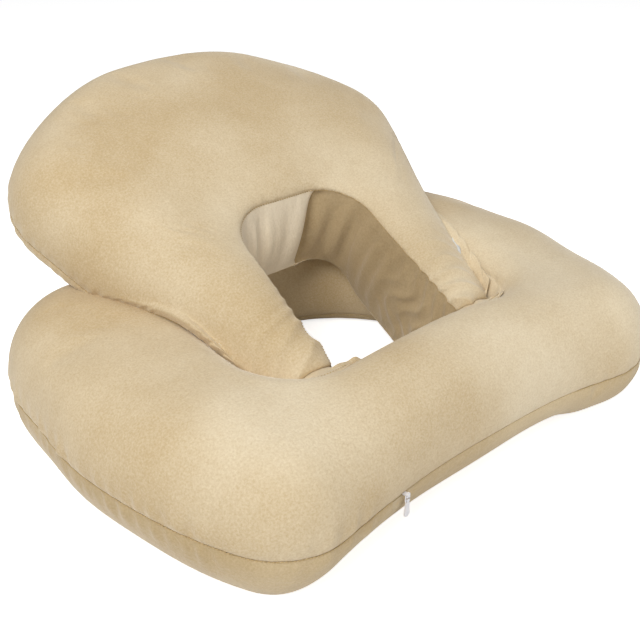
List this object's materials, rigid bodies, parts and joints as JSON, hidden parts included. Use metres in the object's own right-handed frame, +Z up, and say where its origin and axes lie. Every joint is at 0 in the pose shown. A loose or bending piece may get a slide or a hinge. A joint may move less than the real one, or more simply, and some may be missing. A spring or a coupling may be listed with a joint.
{
  "type": "nursing pillow",
  "caption": "Low ring cushion with a concave waist and a half-moon hole, carrying an arched upper cushion that leans back on it and tips up about the hole's front rim.",
  "frame": {"origin": "on the floor, under the middle of the whole pillow's box", "axes": "+Z up, +X along the width across both lobes, -Y towards the concave waist where the wearer sits"},
  "size_m": [0.6, 0.5718, 0.2954],
  "materials": {
    "velour": "short-pile velour, soft nap, warm beige",
    "case_cloth": "plain woven white lining cloth",
    "fibre": "loose hollow polyester fibre",
    "zip_tape": "fine knitted tape, beige",
    "zip_coil": "nylon monofilament coil, satin",
    "coated_zinc": "die-cast zinc with a pale enamel coat",
    "bright_wire": "bright steel wire"
  },
  "bodies": {
    "base_cushion": {"base_cover_top_panel": "velour", "base_cover_bottom_panel": "velour", "base_cover_hole_wall": "velour", "base_inner_case": "case_cloth", "base_fibre_fill": "fibre", "base_zip_tape_upper": "zip_tape", "base_zip_tape_lower": "zip_tape", "base_zip_coil_upper": "zip_coil", "base_zip_coil_lower": "zip_coil", "base_zip_top_stop": "bright_wire", "base_zip_bottom_stop": "bright_wire", "hinge_rim_tape_left": "velour", "hinge_rim_tape_right": "velour"},
    "upper_cushion": {"upper_cover_front_panel": "velour", "upper_cover_back_panel": "velour", "upper_arch_wall_left": "velour", "upper_arch_wall_right": "velour", "upper_foot_end_left": "velour", "upper_foot_end_right": "velour", "upper_inner_case": "case_cloth", "upper_fibre_fill": "fibre", "upper_zip_tape_upper": "zip_tape", "upper_zip_tape_lower": "zip_tape", "upper_zip_coil_upper": "zip_coil", "upper_zip_coil_lower": "zip_coil", "upper_zip_top_stop": "bright_wire", "upper_zip_bottom_stop": "bright_wire", "hinge_foot_flap_left": "velour", "hinge_foot_flap_right": "velour"},
    "base_zip_slider_body": {"base_zip_slider": "coated_zinc"},
    "base_zip_bail_body": {"base_zip_bail": "bright_wire"},
    "base_zip_pull_body": {"base_zip_pull_tab": "coated_zinc"},
    "upper_zip_slider_body": {"upper_zip_slider": "coated_zinc"},
    "upper_zip_bail_body": {"upper_zip_bail": "bright_wire"},
    "upper_zip_pull_body": {"upper_zip_pull_tab": "coated_zinc"}
  },
  "joints": [
    {"name": "upper_fold", "type": "hinge", "parent": "base_cushion", "child": "upper_cushion", "pos_m": [0, -0.1584, 0.118], "axis": [1, 0, 0], "range_deg": [0, 115]},
    {"name": "base_zip_run", "type": "hinge", "parent": "base_cushion", "child": "base_zip_slider_body", "pos_m": [0, -1.1205, 0.054], "axis": [0, 0, -1], "range_deg": [0, 13.96]},
    {"name": "base_zip_bail_swing", "type": "hinge", "parent": "base_zip_slider_body", "child": "base_zip_bail_body", "pos_m": [-0.10356, -0.27431, 0.054], "axis": [-0.9926, -0.1215, 0], "range_deg": [0, 110]},
    {"name": "base_zip_pull_swing", "type": "hinge", "parent": "base_zip_bail_body", "child": "base_zip_pull_body", "pos_m": [-0.10356, -0.27431, 0.0486], "axis": [-0.9926, -0.1215, 0], "range_deg": [0, 60]},
    {"name": "upper_zip_run", "type": "hinge", "parent": "upper_cushion", "child": "upper_zip_slider_body", "pos_m": [0, 0.03674, 0.13955], "axis": [0, 0.4384, -0.8988], "range_deg": [0, 33.35]},
    {"name": "upper_zip_bail_swing", "type": "hinge", "parent": "upper_zip_slider_body", "child": "upper_zip_bail_body", "pos_m": [-0.07733, 0.26878, 0.25272], "axis": [0.9579, 0.2579, 0.1258], "range_deg": [0, 110]},
    {"name": "upper_zip_pull_swing", "type": "hinge", "parent": "upper_zip_bail_body", "child": "upper_zip_pull_body", "pos_m": [-0.07733, 0.27114, 0.24786], "axis": [0.9579, 0.2579, 0.1258], "range_deg": [0, 60]}
  ]
}
